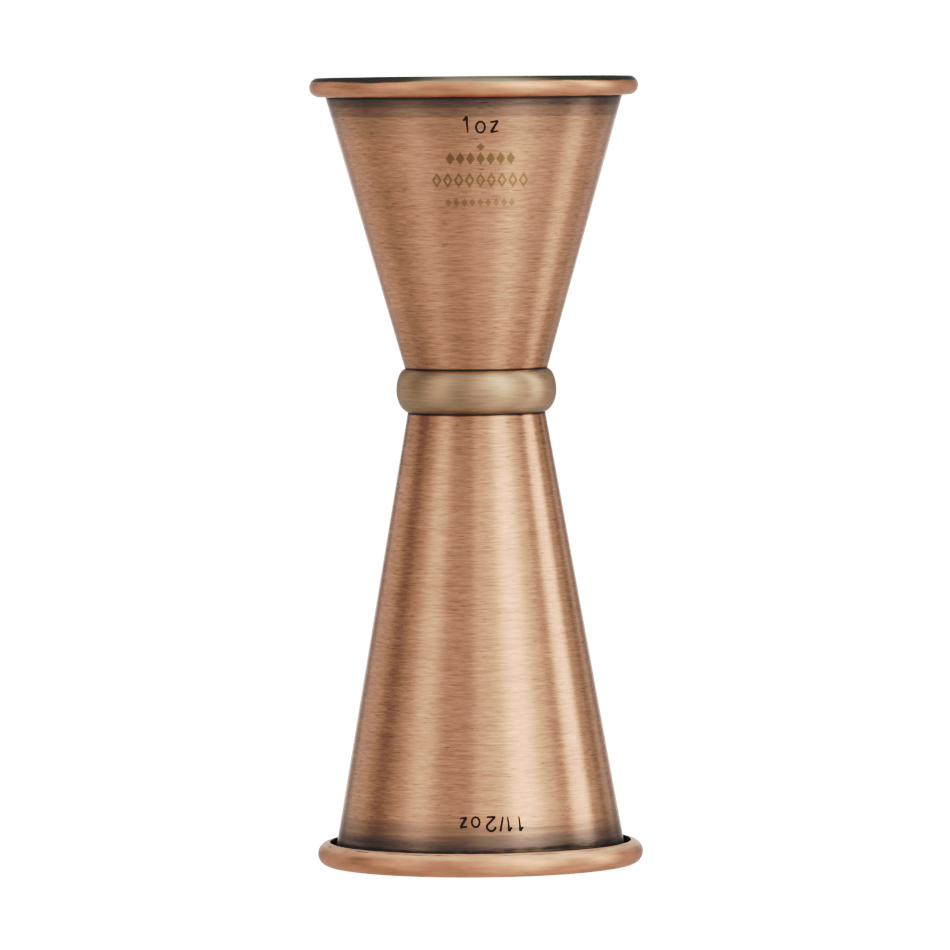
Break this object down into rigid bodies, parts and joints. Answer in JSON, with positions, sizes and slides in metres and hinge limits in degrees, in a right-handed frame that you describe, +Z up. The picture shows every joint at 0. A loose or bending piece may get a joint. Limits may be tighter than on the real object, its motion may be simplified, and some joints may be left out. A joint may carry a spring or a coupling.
{
  "type": "jigger",
  "caption": "Double-ended bar jigger: two tapered measuring cups joined floor to floor, with rolled rims and a rounded band round the waist.",
  "frame": {"origin": "middle of the larger cup's mouth, on the plane that the jigger stands on", "axes": "+Z up the common axis of the two cups, from the larger mouth to the smaller; the capacity marks face -Y"},
  "size_m": [0.046, 0.046, 0.1105],
  "materials": {
    "copper_finish": "antique copper plating on stainless steel sheet, brushed round the axis",
    "bronze_finish": "antique bronze-brown plating on stainless steel sheet, fine satin",
    "braze": "as brazed, not visible"
  },
  "bodies": {
    "root": {"upper_cup": "copper_finish", "lower_cup": "copper_finish", "waist_band": "bronze_finish", "floor_braze": "braze"}
  },
  "joints": []
}
